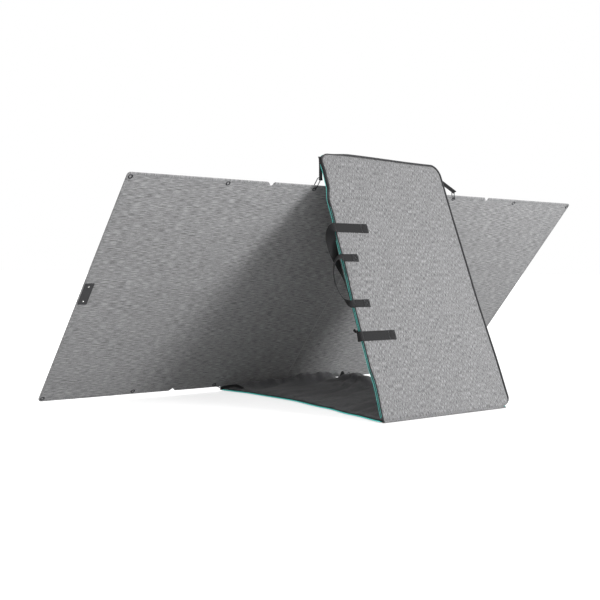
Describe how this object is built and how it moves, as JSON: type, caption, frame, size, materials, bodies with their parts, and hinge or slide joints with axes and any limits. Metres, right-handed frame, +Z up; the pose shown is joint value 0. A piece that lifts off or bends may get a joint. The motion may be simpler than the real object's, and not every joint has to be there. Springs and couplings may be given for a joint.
{
  "type": "folding solar panel kit",
  "caption": "Large folding solar panel in hinged sections, held tilted by snap hooks on its own open soft zip case with a ground flap, a leaning rear flap and webbing handles.",
  "frame": {"origin": "on the floor, under the middle of the whole kit", "axes": "+Z up; +X along the panel towards the end with the closure plate; +Y from the panel towards the spine of the case, so the cells face -Y"},
  "size_m": [2.365, 1.0826, 0.9713],
  "materials": {
    "grey_melange": "woven grey melange polyester",
    "dark_lining": "plain dark polyester lining",
    "stiff_board": "pressed stiffener board",
    "panel_front": "clear faced laminate",
    "solar_cell": "dark monocrystalline cells under film",
    "dark_metal": "gunmetal eyelets and hooks",
    "bright_rivet": "brushed steel rivet heads",
    "webbing": "dark grey ribbed webbing",
    "teal_trim": "teal woven trim",
    "zip_plastic": "black moulded zip teeth",
    "dark_plastic": "matte black moulded plastic"
  },
  "bodies": {
    "ground_flap": {"ground_cover": "grey_melange", "ground_board": "stiff_board", "ground_lining": "dark_lining", "ground_wall": "dark_lining", "ground_zip_teeth": "zip_plastic", "ground_piping": "teal_trim", "spine_roll": "dark_lining", "foot_tabs": "webbing"},
    "rear_flap": {"rear_cover": "grey_melange", "rear_board": "stiff_board", "rear_lining": "dark_lining", "rear_wall": "dark_lining", "rear_zip_teeth": "zip_plastic", "rear_piping": "teal_trim", "top_tabs": "webbing", "handle_outer_ends": "webbing", "handle_inner_ends": "webbing"},
    "zip_slider_left": {"zip_slider_left": "dark_metal"},
    "zip_pull_left": {"zip_pull_left": "dark_metal"},
    "zip_slider_right": {"zip_slider_right": "dark_metal"},
    "zip_pull_right": {"zip_pull_right": "dark_metal"},
    "handle_outer": {"handle_outer_loop": "webbing"},
    "handle_inner": {"handle_inner_loop": "webbing"},
    "section_2": {"section_2_back": "grey_melange", "section_2_core": "stiff_board", "section_2_front": "panel_front", "section_2_cells": "solar_cell", "section_2_eyelets": "dark_metal", "fold_strip_1": "grey_melange", "fold_strip_2": "grey_melange", "hook_top_left": "dark_metal", "hook_foot_left": "dark_metal"},
    "section_1": {"section_1_back": "grey_melange", "section_1_core": "stiff_board", "section_1_front": "panel_front", "section_1_cells": "solar_cell", "section_1_eyelets": "dark_metal", "closure_plate": "dark_plastic", "closure_rivets": "bright_rivet"},
    "section_3": {"section_3_back": "grey_melange", "section_3_core": "stiff_board", "section_3_front": "panel_front", "section_3_cells": "solar_cell", "section_3_eyelets": "dark_metal", "fold_strip_3": "grey_melange", "junction_box": "dark_plastic", "junction_lid": "dark_plastic", "junction_screws": "dark_plastic", "junction_gland": "dark_plastic", "hook_top_right": "dark_metal", "hook_foot_right": "dark_metal"},
    "section_4": {"section_4_back": "grey_melange", "section_4_core": "stiff_board", "section_4_front": "panel_front", "section_4_cells": "solar_cell", "section_4_eyelets": "dark_metal"},
    "gate_top_left": {"gate_top_left": "dark_metal"},
    "gate_top_right": {"gate_top_right": "dark_metal"},
    "gate_foot_left": {"gate_foot_left": "dark_metal"},
    "gate_foot_right": {"gate_foot_right": "dark_metal"}
  },
  "joints": [
    {"name": "rear_flap_open", "type": "hinge", "parent": "ground_flap", "child": "rear_flap", "pos_m": [0, 0.5337, 0.008], "axis": [-1, 0, 0], "range_deg": [0, 111.81], "deforming": ["top_tabs"]},
    {"name": "panel_lower", "type": "hinge", "parent": "ground_flap", "child": "section_2", "pos_m": [0, -0.5233, 0.018], "axis": [-1, 0, 0], "range_deg": [0, 50], "deforming": ["foot_tabs"]},
    {"name": "fold_1", "type": "hinge", "parent": "section_2", "child": "section_1", "pos_m": [0.59125, -0.53084, 0.0241], "axis": [0, -0.6293, -0.7772], "range_deg": [0, 180], "deforming": ["fold_strip_1"]},
    {"name": "fold_2", "type": "hinge", "parent": "section_2", "child": "section_3", "pos_m": [0, -0.5397, 0.03128], "axis": [0, 0.6293, 0.7772], "range_deg": [0, 180], "deforming": ["fold_strip_2"]},
    {"name": "fold_3", "type": "hinge", "parent": "section_3", "child": "section_4", "pos_m": [-0.59125, -0.53084, 0.0241], "axis": [0, 0.6293, 0.7772], "range_deg": [0, 180], "deforming": ["fold_strip_3"]},
    {"name": "gate_top_left", "type": "hinge", "parent": "section_2", "child": "gate_top_left", "pos_m": [0.384, 0.14872, 0.83853], "axis": [1, 0, 0], "range_deg": [0, 22], "stiffness_Nm_per_rad": 0.02, "springref_deg": -20.05},
    {"name": "gate_top_right", "type": "hinge", "parent": "section_3", "child": "gate_top_right", "pos_m": [-0.37366, 0.14661, 0.83592], "axis": [0.809, -0.3699, -0.4568], "range_deg": [0, 22], "stiffness_Nm_per_rad": 0.02, "springref_deg": -20.05},
    {"name": "gate_foot_left", "type": "hinge", "parent": "section_2", "child": "gate_foot_left", "pos_m": [0.36806, -0.51395, 0.02017], "axis": [-0.4226, 0.5703, 0.7043], "range_deg": [0, 12], "stiffness_Nm_per_rad": 0.02, "springref_deg": -20.05},
    {"name": "gate_foot_right", "type": "hinge", "parent": "section_3", "child": "gate_foot_right", "pos_m": [-0.36806, -0.51395, 0.02017], "axis": [-0.4226, -0.5703, -0.7043], "range_deg": [0, 12], "stiffness_Nm_per_rad": 0.02, "springref_deg": -20.05},
    {"name": "zip_left_slide", "type": "slide", "parent": "rear_flap", "child": "zip_slider_left", "axis": [0, -0.3715, 0.9284], "range_m": [0, 0.78]},
    {"name": "zip_left_pull", "type": "hinge", "parent": "zip_slider_left", "child": "zip_pull_left", "pos_m": [0.394, 0.49882, 0.06427], "axis": [-1, 0, 0], "range_deg": [0, 170]},
    {"name": "zip_right_slide", "type": "slide", "parent": "rear_flap", "child": "zip_slider_right", "axis": [0, -0.3715, 0.9284], "range_m": [0, 0.78]},
    {"name": "zip_right_pull", "type": "hinge", "parent": "zip_slider_right", "child": "zip_pull_right", "pos_m": [-0.262, 0.49882, 0.06427], "axis": [-1, 0, 0], "range_deg": [0, 170]},
    {"name": "handle_outer_swing", "type": "hinge", "parent": "rear_flap", "child": "handle_outer", "pos_m": [0.3984, 0.42818, 0.29644], "axis": [0, -0.3715, 0.9284], "range_deg": [-35, 0]},
    {"name": "handle_inner_swing", "type": "hinge", "parent": "rear_flap", "child": "handle_inner", "pos_m": [0.3984, 0.43069, 0.29745], "axis": [0, -0.3715, 0.9284], "range_deg": [0, 90]}
  ],
  "couplings": [
    {"joint": "panel_lower", "follows": "rear_flap_open", "ratio": 0.44717}
  ]
}
